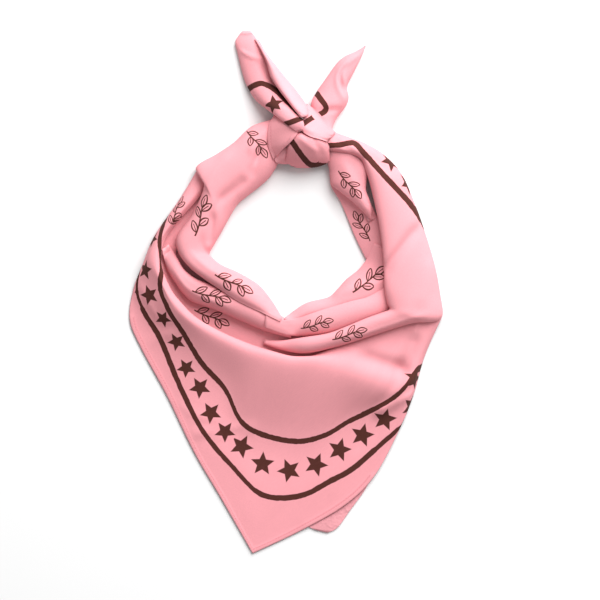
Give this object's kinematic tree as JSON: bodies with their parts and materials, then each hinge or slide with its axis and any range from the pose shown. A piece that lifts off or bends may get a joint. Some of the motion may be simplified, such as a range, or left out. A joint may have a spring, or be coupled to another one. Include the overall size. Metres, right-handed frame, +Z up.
{
  "type": "dog scarf",
  "caption": "Tied dog neck scarf of printed cotton, lying flat: a pointed bib, a pleated round neck and a knot with two short tails.",
  "frame": {"origin": "centre of the bounding box at the table surface that the scarf lies on", "axes": "+Z up from the table, +Y from the bib's point towards the knot and the tails, +X to the right seen from above"},
  "size_m": [0.2505, 0.418, 0.0352],
  "materials": {
    "printed_cotton": "matt plain-weave cotton, light pink, with a brown printed border of two lines and a row of stars",
    "cotton_inside": "matt plain-weave cotton, light pink, the side without the print"
  },
  "bodies": {
    "root": {"back_corner": "cotton_inside", "hidden_layers": "cotton_inside", "knot_heart": "cotton_inside", "left_valley": "printed_cotton", "bib_front": "printed_cotton", "left_pleat": "printed_cotton", "right_inner": "printed_cotton", "right_pleat_inner": "printed_cotton", "right_pleat_middle": "printed_cotton", "left_band": "printed_cotton", "right_tongue": "printed_cotton", "right_band": "printed_cotton", "tail_right": "printed_cotton", "knot_crease": "printed_cotton", "knot_lower_wrap": "printed_cotton", "knot_upper_wrap": "printed_cotton", "knot_left_wrap": "printed_cotton", "tail_left": "printed_cotton", "tail_left_flap": "printed_cotton"}
  },
  "joints": []
}
